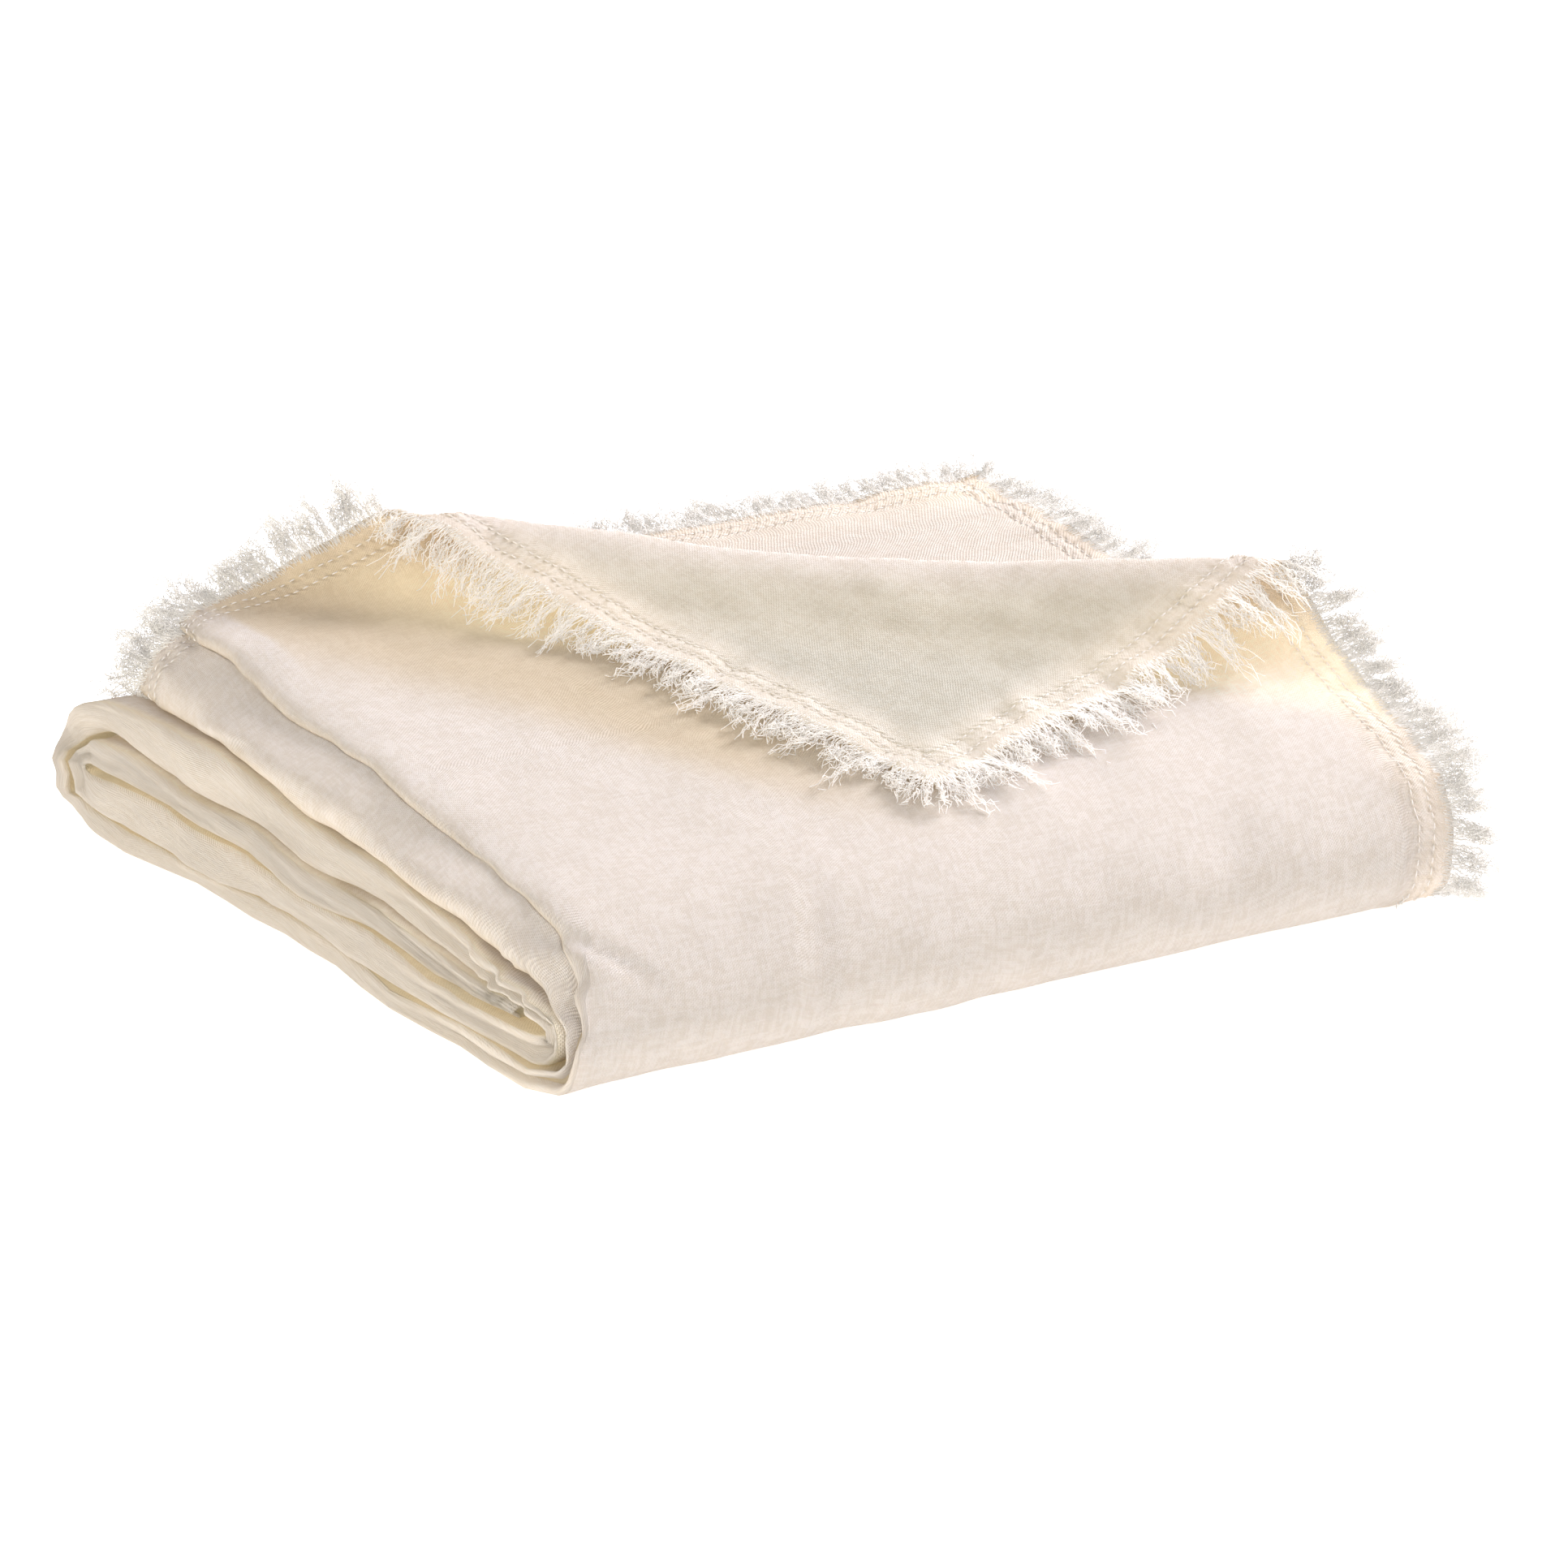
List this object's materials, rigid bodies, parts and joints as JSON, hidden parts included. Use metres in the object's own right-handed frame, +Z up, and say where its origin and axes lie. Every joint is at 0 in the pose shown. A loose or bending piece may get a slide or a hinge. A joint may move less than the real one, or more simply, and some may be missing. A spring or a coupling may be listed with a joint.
{
  "type": "throw blanket",
  "caption": "Folded cream linen throw with frayed, stitched edges and a turned-back corner; lies flat on a shelf, bed or sofa.",
  "frame": {"origin": "on the flat underside, near the middle of the folded stack", "axes": "+Z up, +X along the front fold towards the raw side edges, +Y from the front fold towards the back"},
  "size_m": [0.3771, 0.3327, 0.0955],
  "materials": {
    "linen": "matt plain weave, washed and slubby",
    "frayed_linen": "loose curled threads, matt"
  },
  "bodies": {
    "root": {"cloth": "linen", "fringe_back": "frayed_linen", "fringe_flap_left": "frayed_linen", "fringe_flap_right": "frayed_linen", "fringe_right": "frayed_linen", "fringe_under_back": "frayed_linen", "fringe_under_right": "frayed_linen"}
  },
  "joints": []
}
